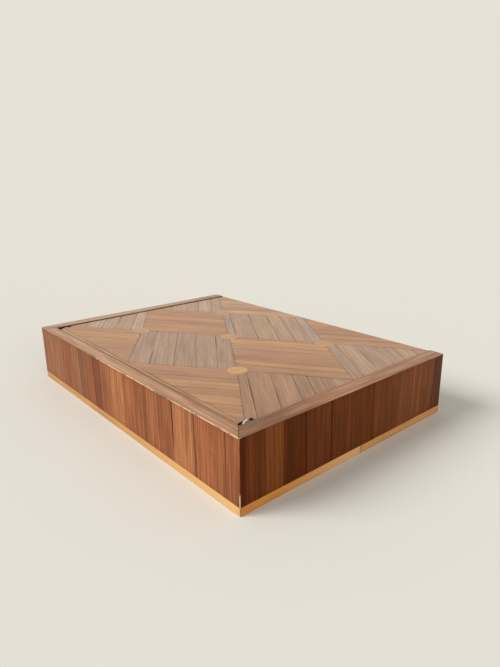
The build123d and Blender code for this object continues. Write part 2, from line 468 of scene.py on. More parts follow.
def straw_finish(name, dullness, streak, gloss, wear=None):
    """Dyed straw: drifts of colour, streaks, fine fibres, stains, dirt in the seams, and worn places."""
    fibre_depth = 0.00005
    material, start = new_finish(name)
    lay = mark(start, "lay", "Vector")
    dye = mark(start, "dye", "Color")
    grime = mark(start, "grime", "Fac")
    drift = drawn_noise(lay, (0.25, 0.04, 1.0), 1.0)
    streaks = drawn_noise(lay, (1.5, 0.03, 1.0), 3.0)
    fibres = drawn_noise(lay, (7.0, 0.12, 1.0), 2.0)
    gain = 1.0 + (drift - 0.5) * 0.5 + (streaks - 0.5) * streak + (fibres - 0.5) * 0.45
    colour = start.node("VectorMath", {"operation": "SCALE"}, {0: dye, 3: gain})
    lines = rise(drawn_noise(lay, (2.6, 0.03, 1.7), 2.0), 0.6, 0.74)
    hairs = rise(drawn_noise(lay, (6.0, 0.05, 0.9), 1.0), 0.52, 0.72)
    stains = rise(drawn_noise(lay, (0.5, 0.16, 1.3), 2.0), 0.64, 0.82)
    colour = blend((lines + hairs) * 0.25 * streak + stains * 0.3, colour, stain_brown)
    colour = blend(grime, colour, seam_dirt)
    if wear:
        for worn, bare in wear(start):
            colour = blend(worn, colour, bare)
    roughness = dullness + (streaks - 0.5) * 0.25 + grime * 0.3
    relief = streaks * 0.5 + fibres * 0.5
    surface(start, colour, roughness, relief, fibre_depth, {"Specular IOR Level": gloss})
    return material


def axes_of(start):
    """A point's place in the part's frame, and its X, Y and Z, in metres."""
    place = start.node("TexCoord", {}, {}, "Object")
    ends = start.node("SeparateXYZ", {}, {0: place}).socket.node.outputs
    return place, [Value(start.tree, end) for end in ends]


def fall(value, low, high):
    """1 below the low value, 0 above the high one, smooth between."""
    return 1.0 - rise(value, low, high)


gold = screen(216, 158, 84)
# The next two golds are for the shaded left band: paler and more orange than gold, as painted light.
painted_warm_light_gold = screen(224, 153, 70)
painted_light_gold = screen(232, 168, 97)
bleached_and_lit_gold = screen(255, 209, 138)
joint_lit_gold = screen(255, 203, 138)
joint_dirt_and_shadow = screen(74, 42, 20)


def band_wear_and_light(start):
    """Painted light, partly bleaching: paler towards the hinge wall's left corner and by the joint on
    the shaded left side. A dark line in the joint: dirt and a painted shadow.
    """
    _, (x, y, _) = axes_of(start)
    # Painted light on the rear band near the left corner and on the left band by the joint, with some
    # bleaching.
    near_corner_light = rise(y, 0.0585, 0.0595) * rise(x, -0.0849, -0.0843) * fall(x, -0.0843, 0.015)
    on_left = fall(x, -0.0845, -0.0835)
    joint_light = on_left * rise(y, -0.00205, -0.002) * fall(y, 0.002, 0.046)
    # Dark line in the joint: dirt and a painted shadow of the step between the two lengths.
    in_joint = on_left * fall(abs(y + 0.00205), 0.0001, 0.0004)
    return [(near_corner_light * 0.7, bleached_and_lit_gold), (joint_light * 0.8, joint_lit_gold), (in_joint * 0.35, joint_dirt_and_shadow)]


golden_straw = straw_finish("golden_straw", dullness=0.4, streak=0.7, gloss=0.45, wear=band_wear_and_light)


def on_band(side):
    """How a straw that lies along a side stands there: its width is the level, its length the run."""
    stand = on_side(side)
    return lambda level, run, out: stand(run, level, out)


def lay_band(side, lengths, seed):
    """A band on one side, in one or more lengths given by their ends and dyes."""
    node = "base_band_" + side
    low, high = box_mm(node)
    under = Seam(low.z, gap=0.0, grime=0.5, roll=0.05)
    over = Seam(high.z, gap=0.05, grime=0.35, roll=0.05)
    straws = [(under, over, start, end, dye) for start, end, dye in lengths]
    lay_sheet(f"golden_band_{side}", straws, on_band(side), golden_straw, "box", "golden_straw", [node],
              seed=seed)


band_low, band_high = box_mm("base_band_left")
band_joint = -2.0
butt_gap = 0.06
lay_band("rear", [(-half_length, half_length, gold)], seed=4)
lay_band("front", [(-half_length, half_length, gold)], seed=5)
# The left band's two golds are painted light on its shaded end.
left_lengths = [(band_low.y, band_joint - butt_gap, painted_light_gold), (band_joint, band_high.y, painted_warm_light_gold)]
lay_band("left", left_lengths, seed=4)
lay_band("right", [(band_low.y, band_high.y, gold)], seed=5)


# Wall straws
# Upright straws dyed in browns and ironed flat, glued to the outside of the walls between the band and
# the rims. They are hand cut, so widths and shades vary, and some seams have opened and gathered dirt.
# The left end wall, which stands in shade, has darker and more orange dyes: painted shade. The upright
# corners are painted pale, most at the top and on the lit hinge side: rubbed straw and a painted highlight.

russet = screen(171, 108, 72)
chestnut = screen(156, 97, 64)
amber = screen(187, 126, 84)
umber = screen(151, 99, 70)
hazel = screen(161, 109, 78)
plum = screen(137, 82, 58)
# The next seven dyes are for the left end wall: darker, more orange copies of the rear wall's browns, as
# painted shade.
shaded_cocoa = screen(115, 61, 26)
shaded_walnut = screen(103, 50, 15)
shaded_burnt = screen(96, 39, 7)
shaded_tobacco = screen(138, 81, 39)
shaded_leather = screen(125, 70, 34)
shaded_dusty_brown = screen(138, 83, 47)
shaded_dark_plum = screen(104, 58, 38)
# Cream of worn straw, also used as a painted highlight on the rim corners and the hinge rim's edge.
cream_wear_and_highlight = screen(240, 207, 166)
# Tan of rubbed straw, also used as a painted highlight on the upright corners.
worn_and_highlight_tan = screen(206, 154, 108)


def corner_wear_and_highlight(start):
    """Upright corners painted pale, most at the top and on the lit hinge side: rubbed straw and a painted
    highlight. One is chipped at its foot, and there is a scratch on the hinge wall.
    """
    place, (x, y, z) = axes_of(start)
    corner = rise(abs(x) + abs(y), 0.14442, 0.14456)
    patches = rise(drawn_noise(place, (60.0, 60.0, 300.0), 2.0), 0.36, 0.6)
    top = rise(z, 0.0245, 0.0275)
    lit_side = 0.35 + rise(y, 0.0, 0.05) * 0.65
    # Painted highlight on the rounded upright corners, with some wear: lighter at the top and on the lit
    # side.
    rubbed_and_highlighted = corner * (patches * 0.2 + top * 0.55) * lit_side
    foot = fall(z, 0.0070, 0.0086) * fall(x - y, -0.1435, -0.1425)
    scratch_x = x + 0.0712
    scratch_z = z - 0.0186
    along = scratch_x * 0.8 + scratch_z * 0.6
    across = scratch_x * 0.6 - scratch_z * 0.8
    scratch = fall(abs(along), 0.0006, 0.0018) * fall(abs(across), 0.0001, 0.0003) * rise(y, 0.059, 0.0595)
    return [(rubbed_and_highlighted + scratch * 0.4, worn_and_highlight_tan), (corner * foot, cream_wear_and_highlight)]


wall_straw = straw_finish("wall_straw", dullness=0.5, streak=1.9, gloss=0.08, wear=corner_wear_and_highlight)

tight = {"gap": 0.02, "grime": 0.2, "roll": 0.02}
fine = {"gap": 0.05, "grime": 0.55, "roll": 0.05}
split = {"gap": 0.14, "grime": 0.95, "roll": 0.09}


def between(seams, dyes, low, high):
    """One straw of each dye between one seam and the next."""
    return [(before, after, low, high, dye) for before, after, dye in zip(seams, seams[1:], dyes)]


def side_by_side(first, low, high, cuts):
    """Straws from a first place on. A cut is where a straw ends, its dye, and the seam after it."""
    seams = [Seam(first, gap=0.0, grime=0.1, roll=0.02)]
    seams += [Seam(end, **kind) for end, _, kind in cuts]
    return between(seams, [dye for _, dye, _ in cuts], low, high)


wall_low, wall_high = box_mm("rear_wall_straw")
rear_cuts = [
    (-77.8, chestnut, {**fine, "opening": 0.08, "middle": 26.0, "reach": 8.0}),
    (-69.0, russet, tight),
    (-60.3, russet, {**split, "slant": 0.012}),
    (-53.0, amber, tight),
    (-46.0, amber, {**split, "opening": 0.25, "middle": 21.0, "reach": 12.0}),
    (-36.0, chestnut, {**fine, "opening": 0.06, "middle": 24.0, "reach": 9.0}),
    (-27.0, russet, tight),
    (-17.5, chestnut, tight),
    (-7.5, russet, tight),
    (3.5, amber, tight),
    (13.5, russet, tight),
    (20.5, plum, {**split, "slant": 0.03}),
    (29.0, chestnut, tight),
    (37.0, umber, {**fine, "opening": 0.22, "middle": 23.0, "reach": 7.0}),
    (47.0, hazel, tight),
    (57.5, chestnut, {**fine, "opening": 0.22, "middle": 20.0, "reach": 7.0}),
    (66.5, hazel, tight),
    (76.0, hazel, tight),
    (half_length, hazel, tight),
]
lay_sheet("rear_wall_straws", side_by_side(-half_length, wall_low.z, wall_high.z, rear_cuts),
          on_side("rear"), wall_straw, "box", "wall_straw", ["rear_wall_straw"], seed=11)

left_low, left_high = box_mm("left_wall_straw")
# The left wall's straws carry the darker dyes of painted shade.
left_cuts = [
    (-52.6, shaded_dark_plum, {**fine, "slant": -0.02}),
    (-44.0, shaded_dusty_brown, tight),
    (-35.0, shaded_dusty_brown, tight),
    (-26.0, shaded_dusty_brown, tight),
    (-18.0, shaded_leather, tight),
    (-10.2, shaded_leather, {**fine, "gap": 0.1, "slant": 0.04}),
    (2.0, shaded_cocoa, tight),
    (9.0, shaded_cocoa, tight),
    (15.5, shaded_cocoa, {**split, "slant": 0.02}),
    (22.0, shaded_cocoa, tight),
    (28.8, shaded_cocoa, {**split, "gap": 0.2, "slant": 0.03}),
    (34.5, shaded_walnut, tight),
    (40.3, shaded_walnut, tight),
    (48.5, shaded_tobacco, tight),
    (57.3, shaded_cocoa, tight),
    (left_high.y, shaded_burnt, tight),
]
lay_sheet("left_wall_straws", side_by_side(left_low.y, left_low.z, left_high.z, left_cuts),
          on_side("left"), wall_straw, "box", "wall_straw", ["left_wall_straw"], seed=12)


def free_cuts(first, last, dyes, seed):
    """Straws of any widths, for a side that no view fixes."""
    draw = random.Random(seed)
    narrowest, widest = 6.0, 10.0
    widest_last = 11.5
    part_open = {**fine, "opening": 0.15, "middle": 20.0, "reach": 9.0}
    cuts = []
    place = first
    while last - place > widest_last:
        place += draw.uniform(narrowest, widest)
        kind = draw.choice([tight, tight, fine, part_open])
        cuts.append((place, draw.choice(dyes), {**kind, "slant": draw.uniform(-0.01, 0.01)}))
    return cuts + [(last, draw.choice(dyes), tight)]


wall_dyes = [russet, russet, chestnut, umber]
right_cuts = free_cuts(left_low.y, left_high.y, wall_dyes, seed=5)
lay_sheet("right_wall_straws", side_by_side(left_low.y, left_low.z, left_high.z, right_cuts),
          on_side("right"), wall_straw, "box", "wall_straw", ["right_wall_straw"], seed=13)

ledge_low, ledge_high = box_mm("front_ledge_straw")
front_cuts = free_cuts(ledge_low.x, ledge_high.x, wall_dyes, seed=8)
front_straws = side_by_side(ledge_low.x, wall_low.z, ledge_low.z, front_cuts)
post_width = half_length - ledge_high.x
for start, dye in ((-half_length, russet), (ledge_high.x + butt_gap, chestnut)):
    post_edges = Seam(start, gap=0.0), Seam(start + post_width - butt_gap, gap=0.0)
    front_straws.append((*post_edges, wall_low.z, wall_high.z, dye))
lay_sheet("front_wall_straws", front_straws, on_side("front"), wall_straw, "box", "wall_straw",
          ["front_wall_straw"], seed=14)


# Rims and ledge
# Straws laid lengthwise over the top edges of the three high walls, mitred at the hinge corners, and one
# along the ledge under the lid's free edge. The corners and the hinge rim's rounded outer edge are painted
# pale: rubbed straw and a painted highlight. The ribs carry painted shade and highlight, the lid border
# below the hinge rim a painted shadow, and the right rim's inner edge painted shade.

rim_tan = screen(188, 141, 107)
rim_rose = screen(158, 112, 83)
rim_brown = screen(156, 108, 80)
rim_pale = screen(186, 150, 121)
# Pale used as a painted highlight on the ribs.
rib_highlight_pale = screen(225, 181, 144)
# Dark brown of handling dirt, also used for painted shade on the rims and lid border.
handling_dirt_and_shade = screen(90, 53, 25)
tan_handling = screen(155, 100, 58)


def rim_wear_and_light(start):
    """Ribs along the straw, with painted shade between them and a painted highlight on them; brown from
    handling towards the near corner; dirt in the mitres and a dark seam by the marquetry; a painted shadow
    of the hinge rim on the lid border and painted shade on the right rim's inner edge; and pale straw on
    the corners and the hinge rim's outer edge: wear and a painted highlight."""
    place, (x, y, _) = axes_of(start)
    on_end = rise(abs(x), 0.0777, 0.0779)
    on_left = fall(x, -0.0779, -0.0777)
    on_right = rise(x, 0.0777, 0.0779)
    past_mitre = (abs(x) - 0.078) * 0.638 - (y - 0.0542) * 0.770
    ribs = drawn_noise(mark(start, "lay", "Vector"), (0.9, 0.025, 1.0), 2.0)
    # Painted shade between the ribs and a painted highlight on them.
    furrow_shade = fall(ribs, 0.36, 0.5) * (0.35 + on_end * 0.15)
    ridge_highlight = rise(ribs, 0.5, 0.66) * (0.5 + on_end * 0.05)
    tanned = fall(x, -0.06, 0.02) * (0.2 + on_end * 0.18)
    patches = rise(drawn_noise(place, (900.0, 60.0, 60.0), 2.0), 0.3, 0.6)
    handled = on_left * rise(past_mitre, 0.0, 0.0001) * rise(y, 0.0, 0.045) * patches
    # Painted highlight on the rounded rim corners, with some wear.
    corner = rise(abs(x) + abs(y), 0.1436, 0.1447)
    # Painted shadow of the hinge rim on the lid border, a dark seam where the border meets the marquetry,
    # and painted shade on the right rim's inner edge.
    rim_shadow_on_border = rise(y, 0.0523, 0.0527) * fall(y, 0.0532, 0.0538) * 0.65
    by_marquetry = rise(y, 0.0511, 0.0512) * fall(y, 0.0514, 0.0516) * 0.35
    right_rim_inner_shade = on_right * fall(x, 0.0785, 0.0815) * 0.4
    dip_dirt_and_shade = (rim_shadow_on_border + by_marquetry) * (1.0 - on_end) + right_rim_inner_shade
    # The hinge rim's rounded outer edge faces the lamp: painted pale as a highlight, partly rubbed straw.
    broken = rise(drawn_noise(place, (220.0, 20.0, 20.0), 3.0), 0.3, 0.55)
    rubbed_and_lit_edge = rise(y, 0.05955, 0.05985) * fall(x, 0.012, 0.03) * broken
    mitre = fall(abs(past_mitre), 0.00012, 0.0003) * on_end * rise(y, 0.0540, 0.0542)
    return [
        (furrow_shade, handling_dirt_and_shade),
        (ridge_highlight, rib_highlight_pale),
        (tanned, tan_handling),
        (handled * 0.6, handling_dirt_and_shade),
        (corner * 0.75, cream_wear_and_highlight),
        (dip_dirt_and_shade, handling_dirt_and_shade),
        (rubbed_and_lit_edge * 0.8, cream_wear_and_highlight),
        (mitre * 0.75, handling_dirt_and_shade),
    ]


edge_straw = straw_finish("edge_straw", dullness=0.42, streak=1.5, gloss=0.4, wear=rim_wear_and_light)


def clean_edge(place, roll=0.0):
    """The edge of a straw with nothing beside it, or where the outline is cut later."""
    return Seam(place, gap=0.0, grime=0.0, roll=roll)


def rim_straw(inner, outer, low, high, dye):
    """One straw lengthwise along a rim, between its inner and outer edge."""
    return [(clean_edge(inner, roll=0.04), clean_edge(outer), low, high, dye)]


rim_low, rim_high = box_mm("rear_rim_straw")
rim_level = rim_high.z
inner_x = -box_mm("left_rim_straw")[1].x
rear_mitre = [Vector((rim_low.y, -inner_x)), Vector((rim_low.y, inner_x)),
              Vector((rim_high.y, half_length)), Vector((rim_high.y, -half_length))]
lay_sheet("rear_rim_straws", rim_straw(rim_low.y, rim_high.y, -half_length, half_length, rim_tan),
          lambda across, along, out: rubbed(along, across, rim_level + out),
          edge_straw, "box", "edge_straw", ["rear_rim_straw"], outline=rear_mitre, seed=21)
end_mitre = [Vector((inner_x, -half_width)), Vector((inner_x, rim_low.y)),
             Vector((half_length, half_width)), Vector((half_length, -half_width))]
for side, turn, dye in (("left", -1, rim_rose), ("right", 1, rim_pale)):
    lay_sheet(f"{side}_rim_straws", rim_straw(inner_x, half_length, -half_width, half_width, dye),
              lambda across, along, out, turn=turn: rubbed(turn * across, along, rim_level + out),
              edge_straw, "box", "edge_straw", [f"{side}_rim_straw"], outline=end_mitre, seed=22 + turn)

lay_sheet("front_ledge_straws", rim_straw(ledge_low.y, ledge_high.y, ledge_low.x, ledge_high.x, rim_tan),
          lambda across, along, out: Vector((along, across, ledge_high.z + out)),
          edge_straw, "box", "edge_straw", ["front_ledge_straw"], seed=25)


# Lining
# Undyed honey-coloured straw covers the floor and the insides of the walls, laid lengthwise edge to edge.
# The end linings are cut round the hinge leaves. The linings are painted dark behind the hinges, as
# painted shade, and along the top in the gap round the closed lid, as painted shade with some dirt.

honey = screen(214, 170, 112)
pale_honey = screen(222, 184, 128)
deep_honey = screen(200, 152, 94)
# Near-black used as painted shade in the recesses round the hinges and the lid, with some dirt.
hinge_dirt_and_shade = screen(44, 27, 16)
honeys = [honey, honey, pale_honey, deep_honey]


def lining_dirt_and_shade(start):
    """Painted shade behind the hinges, and painted shade with some dirt along the top, in the lid's gap."""
    _, (x, y, z) = axes_of(start)
    # Painted shade in the recess behind the hinges; along the top, painted shade and dirt in the lid's gap.
    behind_hinges_shade = rise(abs(x), 0.0774, 0.0778) * rise(y, 0.0455, 0.048) * rise(z, 0.0222, 0.0238)
    gap_shade_and_dirt = rise(z, 0.0270, 0.0276)
    return [(behind_hinges_shade * 0.75, hinge_dirt_and_shade), (gap_shade_and_dirt * 0.8, hinge_dirt_and_shade)]


lining_straw = straw_finish("lining_straw", dullness=0.42, streak=0.9, gloss=0.4, wear=lining_dirt_and_shade)


def lining(name, low_across, high_across, low, high, place, body, replaced, seed, extra=(), holes=()):
    """Honey-coloured straws side by side over a whole face, with any extra straws and holes."""
    cuts = free_cuts(low_across, high_across, honeys, seed)
    straws = side_by_side(low_across, low, high, cuts) + list(extra)
    lay_sheet(name, straws, place, lining_straw, body, "lining_straw", [replaced],
              holes=holes, ribs=0.03, seed=seed)


floor_low, floor_high = box_mm("floor_lining")
lining("floor_lining_straws", floor_low.y, floor_high.y, floor_low.x, floor_high.x,
       lambda across, along, out: Vector((along, across, floor_high.z + out)),
       "box", "floor_lining", seed=31)

border_low, border_high = box_mm("lid_hinge_border")
lid_bottom = border_low.z
lid_top = border_high.z
back_low, back_high = box_mm("rear_lining")
upper_edges = Seam(lid_bottom + butt_gap, gap=0.0), Seam(back_high.z, gap=0.0)
lining("rear_lining_straws", back_low.z, lid_bottom, back_low.x, back_high.x,
       lambda across, along, out: Vector((along, back_low.y - out, across)),
       "box", "rear_lining", seed=32, extra=[(*upper_edges, back_low.x, back_high.x, honey)])
face_low, face_high = box_mm("front_lining")
lining("front_lining_straws", face_low.z, face_high.z, face_low.x, face_high.x,
       lambda across, along, out: Vector((along, face_high.y + out, across)),
       "box", "front_lining", seed=33)

leaf_low, leaf_high = box_mm("left_wall_leaf")
eye_radius = (leaf_high.z - leaf_low.z) / 2
axis_z = (leaf_high.z + leaf_low.z) / 2
axis_y = leaf_high.y - eye_radius
tail_half = 1.5
leaf_clearance = 0.02


def leaf_hole():
    """Outline of a hinge leaf with some clearance: a round eye and a straight tail, level and then run."""
    arc_steps = 24
    radius = eye_radius + leaf_clearance
    half = tail_half + leaf_clearance
    reach = math.acos(half / radius)
    arc = [math.pi / 2 + reach - k * (math.pi + 2 * reach) / arc_steps for k in range(arc_steps + 1)]
    outline = [(axis_z + radius * math.sin(angle), axis_y + radius * math.cos(angle)) for angle in arc]
    tail = leaf_low.y - leaf_clearance
    return outline + [(axis_z - half, tail), (axis_z + half, tail)]


both_ends = (("left", -1), ("right", 1))
end_low, end_high = box_mm("left_lining")
for side, turn in both_ends:
    upper_straw = (*upper_edges, end_low.y, end_high.y, honey)
    lining(f"{side}_lining_straws", end_low.z, lid_bottom, -end_high.y, end_high.y,
           lambda across, along, out, turn=turn: Vector((turn * (inner_x - out), along, across)),
           "box", f"{side}_lining", seed=35 + turn, extra=[upper_straw], holes=[leaf_hole()])


# Lid border
# Two straws along the hinge edge of the lid, soaked and bent over its half-round edge, with a dark seam
# where they meet the marquetry.

fawn = screen(172, 128, 94)
border_tan = screen(180, 132, 96)
field_rear = border_low.y
half_round = (lid_top - lid_bottom) / 2
lid_axis_z = (lid_top + lid_bottom) / 2
lid_axis_y = border_high.y - half_round
flat_run = lid_axis_y - field_rear
bend_run = math.pi * half_round


def over_edge(across, along, out):
    """From the top of the lid, round its hinge edge and back along the underside."""
    if across < flat_run:
        return Vector((along, field_rear + across, lid_top + out))
    if across > flat_run + bend_run:
        return Vector((along, lid_axis_y - (across - flat_run - bend_run), lid_bottom - out))
    angle = (across - flat_run) / half_round
    radius = half_round + out
    return Vector((along, lid_axis_y + radius * math.sin(angle), lid_axis_z + radius * math.cos(angle)))


border_seams = [Seam(0.0, gap=0.04, grime=0.7, roll=0.05), Seam(flat_run + bend_run / 2, gap=0.05),
                Seam(2 * flat_run + bend_run, gap=0.05)]
border_straws = between(border_seams, [border_tan, fawn], border_low.x, border_high.x)
lay_sheet("lid_border_straws", border_straws, over_edge, edge_straw, "lid", "edge_straw",
          ["lid_hinge_border"], seed=41)


# Lid marquetry
# Twelve lozenges and half lozenges of straw, each laid parallel to two of its sides and turned the other
# way in every second row. The two ways have warm and greyer dyes: painted sheen, for light that straw
# reflects differently along its two grain directions. The greyer way is also more ribbed. They are set
# out from the left front corner, so the last column is cut short and the row at the hinge is taller.

# The first four dyes here are the warm ones, the last five the greyer ones; the difference between them is
# painted sheen.
rose_tan = screen(180, 132, 97)
apricot = screen(188, 139, 97)
rust_tan = screen(172, 125, 90)
sheen_pale_tan = screen(191, 149, 115)
sand = screen(181, 146, 117)
ash = screen(172, 138, 114)
brown_ash = screen(163, 123, 94)
lilac_ash = screen(174, 145, 126)
pale_ash = screen(184, 153, 129)
warm_sheen_straw = straw_finish("lid_straw_warm", dullness=0.4, streak=1.1, gloss=0.4)
grey_sheen_straw = straw_finish("lid_straw_cool", dullness=0.42, streak=1.25, gloss=0.4)

columns = rows = 4
column_cut = 5.6
hinge_row_extra = 2.45
lid_half = box_mm("lid_front_edge_straw")[1].x
column_pitch = (2 * lid_half + column_cut) / columns
row_pitch = (field_rear + half_width - hinge_row_extra) / rows
lid_sides = [((1, 0), lid_half), ((-1, 0), lid_half), ((0, 1), field_rear), ((0, -1), half_width)]
notch_x = -border_low.x
notch_front = box_mm("lid_left_edge_straw")[1].y
past_end, past_rear = 90, 60
notch = [(notch_x, notch_front), (past_end, notch_front), (past_end, past_rear), (notch_x, past_rear)]
disc_radius = 4.5
discs = [(column, row) for row in range(1, rows) for column in range(1, columns) if (column + row) % 2 == 0]
opened = {"gap": 0.07, "grime": 0.7, "roll": 0.06}


def row_line(row):
    """Where the middle of a row lies. The row at the hinge is a little taller."""
    taller_rows = max(0, row - rows + 1)
    return row * row_pitch + taller_rows * hinge_row_extra - half_width


def lattice(column, row):
    """Where a column crosses a row: the middle or a corner of a lozenge."""
    return Vector((column * column_pitch - lid_half, row_line(row)))


def ring_round(hub, radius):
    half_turn = 24
    angles = [k * math.pi / half_turn for k in range(2 * half_turn)]
    return [hub + radius * Vector((math.cos(angle), math.sin(angle))) for angle in angles]


field_straws = {
    (0, 3): [(9.4, ash, opened), (8.7, brown_ash, fine), (5.4, brown_ash, fine), (8.4, brown_ash, opened),
             (8.7, brown_ash, opened), (4.4, brown_ash, fine)],
    (0, 1): [(7.5, ash, fine), (7.5, sand, fine), (7.0, ash, opened), (9.3, ash, opened), (8.2, sand, fine),
             (5.1, ash, fine)],
    (2, 3): [(7.4, ash, opened), (9.0, ash, tight), (9.4, ash, fine), (10.1, ash, opened),
             (9.1, ash, fine)],
    (2, 1): [(5.0, lilac_ash, fine), (8.0, ash, fine), (7.5, sand, opened), (10.0, sand, fine),
             (10.5, ash, opened), (4.0, lilac_ash, fine)],
    (1, 2): [(2.5, rust_tan, fine), (8.0, apricot, fine), (7.0, rose_tan, fine), (9.0, rose_tan, tight),
             (6.0, rust_tan, tight), (5.0, apricot, fine), (7.5, rust_tan, fine)],
    (4, 1): [(6.0, sand, fine), (8.5, pale_ash, fine), (7.0, sand, opened), (9.0, pale_ash, fine),
             (6.5, sand, fine), (8.0, pale_ash, fine)],
    (4, 3): [(6.0, pale_ash, fine), (8.5, sand, opened), (7.0, pale_ash, fine), (9.0, pale_ash, fine),
             (6.5, sand, tight), (8.0, pale_ash, fine)],
    # The field at column 3, row 0 has paler dyes: painted sheen of light glancing off it.
    (3, 0): [(6.0, sheen_pale_tan, fine), (8.5, rose_tan, tight), (7.0, sheen_pale_tan, tight), (9.0, sheen_pale_tan, fine),
             (6.5, rose_tan, tight), (8.0, sheen_pale_tan, fine)],
    (1, 4): [(10.0, rose_tan, fine), (4.0, rust_tan, tight), (6.0, apricot, fine), (6.0, rust_tan, tight),
             (6.5, apricot, fine), (6.0, rust_tan, tight), (6.5, rose_tan, tight)],
}


def field_seams(column, row, low, high, draw):
    """Seams and dyes of one lozenge, from its lower side up."""
    # Warm dyes in even rows and greyer dyes in odd rows: painted sheen along the two grain directions.
    dyes = [ash, ash, sand, lilac_ash] if row % 2 else [rose_tan, apricot, rust_tan, rose_tan]
    kinds = [tight, fine, opened] if row % 2 else [tight, tight, fine]
    usual_widths = (6.0, 8.5, 7.0, 9.0, 6.5, 8.0)
    spare = [(width, draw.choice(dyes), draw.choice(kinds)) for width in usual_widths]
    listed = field_straws.get((column, row), spare)
    scale = (high - low) / sum(width for width, _, _ in listed)
    place = low
    seams = [clean_edge(low)]
    for width, _, kind in listed:
        place += width * scale
        loose = {"slant": draw.uniform(-0.006, 0.006)}
        if kind is opened:
            loose["opening"] = draw.uniform(0.04, 0.14)
            loose["middle"] = draw.uniform(-20, 20)
            loose["reach"] = draw.uniform(10, 25)
        seams.append(Seam(place, **{**kind, **loose}))
    seams[-1] = clean_edge(high)
    return seams, [dye for _, dye, _ in listed]


def on_lid(x, y, out):
    return Vector((x, y, lid_top + out))


def lay_field(column, row):
    """One lozenge with its straws, cut off at the lid's sides and round the discs and the hinge notches."""
    draw = random.Random(100 + 10 * column + row)
    climb = math.atan2((row_line(row + 1) - row_line(row - 1)) / 2, column_pitch)
    angle = -climb if row % 2 else climb
    centre = lattice(column, row)
    grain = Vector((math.cos(angle), math.sin(angle)))
    cross = Vector((-grain.y, grain.x))

    def flat(outline):
        return [Vector((cross.dot(point - centre), grain.dot(point - centre))) for point in outline]

    def place(across, along, out):
        spot = centre + cross * across + grain * along
        return on_lid(spot.x, spot.y, out)

    lozenge = [lattice(column - 1, row), lattice(column, row - 1),
               lattice(column + 1, row), lattice(column, row + 1)]
    lozenge = inset(lozenge, butt_gap / 2)
    widths = [point.x for point in flat(lozenge)]
    seams, dyes = field_seams(column, row, min(widths), max(widths), draw)
    for normal, limit in lid_sides:
        lozenge = keep_side(lozenge, Vector(normal), limit)
    holes = [flat(ring_round(lattice(*disc), disc_radius + butt_gap)) for disc in discs]
    holes += [flat([Vector((turn * x, y)) for x, y in notch]) for _, turn in both_ends]
    laid = flat(lozenge)
    runs = [point.y for point in laid]
    cool = row % 2
    finish, slot = (grey_sheen_straw, "lid_straw_cool") if cool else (warm_sheen_straw, "lid_straw_warm")
    ribs = 0.04 if cool else 0.02
    lay_sheet(f"lid_lozenge_column{column}_row{row}", between(seams, dyes, min(runs), max(runs)), place,
              finish, "lid", slot, [f"lid_field_column{column}_row{row}"],
              outline=laid, holes=holes, ribs=ribs, seed=60 + 5 * column + row)


for row in range(rows + 1):
    for column in range(columns + 1):
        if (column + row) % 2:
            lay_field(column, row)


# Discs
# Five small discs of golden straw let in where the lozenges meet, each cut from two straws side by side
# with the seam from front to back.

disc_gold = screen(197, 149, 99)
fresh_gold = screen(208, 159, 104)
dull_gold = screen(190, 146, 103)


def lay_disc(number, hub, dye):
    middle_seam = Seam(hub.x, gap=0.04, grime=0.4, roll=0.03)
    seams = [clean_edge(hub.x - disc_radius), middle_seam, clean_edge(hub.x + disc_radius)]
    straws = between(seams, [dye, dye], hub.y - disc_radius, hub.y + disc_radius)
    lay_sheet(f"lid_disc_{number}", straws, on_lid, golden_straw, "lid", "golden_straw", ["lid_discs"],
              outline=ring_round(hub, disc_radius), edge_dirt=0.12, seed=80 + number)


disc_dyes = [disc_gold, dull_gold, disc_gold, fresh_gold, dull_gold]
for number, (disc, dye) in enumerate(zip(discs, disc_dyes)):
    lay_disc(number, lattice(*disc), dye)


# Lid edges and underside
# Straw strips along the lid's front edge and its two ends, cut round the hinge leaves, and honey-coloured
# straw lengthwise under the lid.

edge_low, edge_high = box_mm("lid_front_edge_straw")
lay_sheet("lid_front_edge_straws", rim_straw(edge_low.z, edge_high.z, edge_low.x, edge_high.x, rim_tan),
          lambda across, along, out: Vector((along, edge_low.y - out, across)),
          edge_straw, "lid", "edge_straw", ["lid_front_edge_straw"], seed=91)
end_edge_low, end_edge_high = box_mm("lid_left_edge_straw")
end_edges = Seam(end_edge_low.z, gap=0.0), Seam(end_edge_high.z, gap=0.0)
for side, turn in both_ends:
    lay_sheet(f"lid_{side}_edge_straws", [(*end_edges, end_edge_low.y, end_edge_high.y, rim_brown)],
              lambda across, along, out, turn=turn: Vector((turn * (lid_half + out), along, across)),
              edge_straw, "lid", "edge_straw", [f"lid_{side}_edge_straw"],
              holes=[leaf_hole()], seed=92 + turn)

under_low, under_high = box_mm("lid_lining")
under_notches = [[(y, turn * x) for x, y in notch] for _, turn in both_ends]
lining("lid_lining_straws", under_low.y, under_high.y, under_low.x, under_high.x,
       lambda across, along, out: Vector((along, across, under_low.z - out)),
       "lid", "lid_lining", seed=95, holes=under_notches)


# Hinges
# A pair of pivot hinges: nickel-plated leaves let into the wall and the lid's end, a turned steel pin
# through their eyes, a brass washer between and two countersunk steel screws in each leaf.

